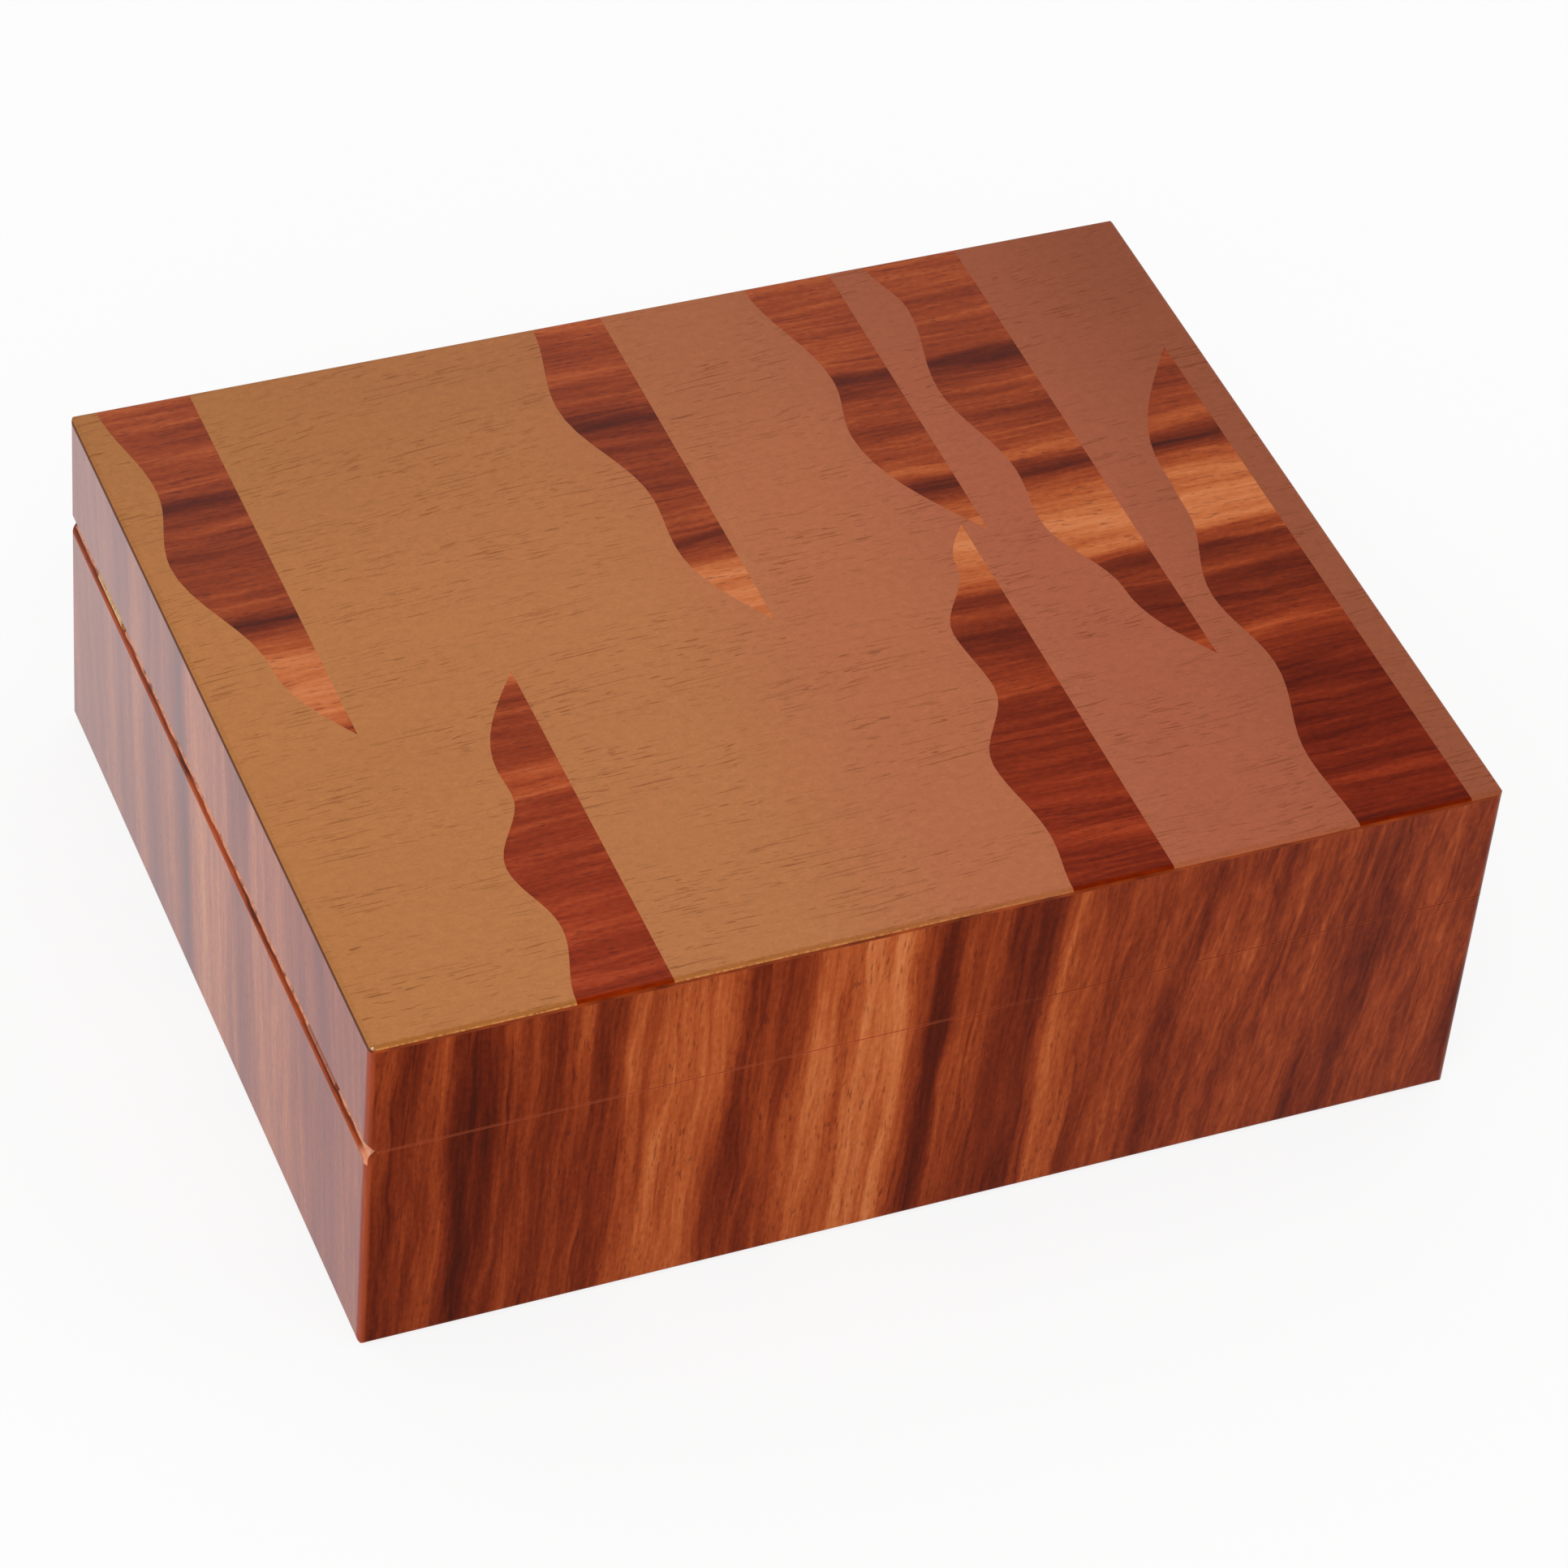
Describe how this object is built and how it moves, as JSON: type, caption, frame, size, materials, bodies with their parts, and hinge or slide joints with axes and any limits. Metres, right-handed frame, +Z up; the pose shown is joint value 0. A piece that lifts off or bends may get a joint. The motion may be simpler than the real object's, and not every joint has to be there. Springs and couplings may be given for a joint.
{
  "type": "inlaid wooden box",
  "caption": "Rectangular lacquered wooden box with a hinged lid, figured veneer sides and tapering wavy stripes inlaid in the lid.",
  "frame": {"origin": "middle of the underside, on the surface that the box stands on", "axes": "+X along the longest side, away from the hinge side; +Y to the back; +Z up"},
  "size_m": [0.26, 0.211, 0.091],
  "materials": {
    "side_veneer": "figured rosewood under clear gloss lacquer",
    "inlay_veneer": "figured rosewood under clear gloss lacquer",
    "field_veneer": "fine-grained veneer stained from gold to copper under satin lacquer",
    "carcass": "red-brown hardwood, lacquered where it shows",
    "lining": "bare planed cedar",
    "pad": "napped suede cloth",
    "felt": "pressed felt",
    "hinge_brass": "polished brass",
    "screw_brass": "polished brass"
  },
  "bodies": {
    "base": {"base_front_wall": "carcass", "base_back_wall": "carcass", "base_left_wall": "carcass", "base_right_wall": "carcass", "base_bottom_panel": "carcass", "base_front_veneer": "side_veneer", "base_back_veneer": "side_veneer", "base_left_veneer": "side_veneer", "base_right_veneer": "side_veneer", "base_felt": "felt", "base_front_lining": "lining", "base_back_lining": "lining", "base_left_lining": "lining", "base_right_lining": "lining", "base_floor_pad": "pad", "front_hinge_lower_leaf": "hinge_brass", "front_hinge_pin": "hinge_brass", "back_hinge_lower_leaf": "hinge_brass", "back_hinge_pin": "hinge_brass", "lower_leaf_screws": "screw_brass"},
    "lid": {"lid_front_wall": "carcass", "lid_back_wall": "carcass", "lid_left_wall": "carcass", "lid_right_wall": "carcass", "lid_top_panel": "carcass", "lid_front_veneer": "side_veneer", "lid_back_veneer": "side_veneer", "lid_left_veneer": "side_veneer", "lid_right_veneer": "side_veneer", "lid_field_veneer": "field_veneer", "inlay_stripe_1": "inlay_veneer", "inlay_stripe_2": "inlay_veneer", "inlay_stripe_3": "inlay_veneer", "inlay_stripe_4": "inlay_veneer", "inlay_stripe_5": "inlay_veneer", "inlay_stripe_6": "inlay_veneer", "inlay_stripe_7": "inlay_veneer", "lid_front_lining": "lining", "lid_back_lining": "lining", "lid_left_lining": "lining", "lid_right_lining": "lining", "lid_ceiling_pad": "pad", "front_hinge_upper_leaf": "hinge_brass", "back_hinge_upper_leaf": "hinge_brass", "upper_leaf_screws": "screw_brass"}
  },
  "joints": [
    {"name": "lid_hinge", "type": "hinge", "parent": "base", "child": "lid", "pos_m": [-0.128, 0, 0.06015], "axis": [0, -1, 0], "range_deg": [0, 95]}
  ]
}
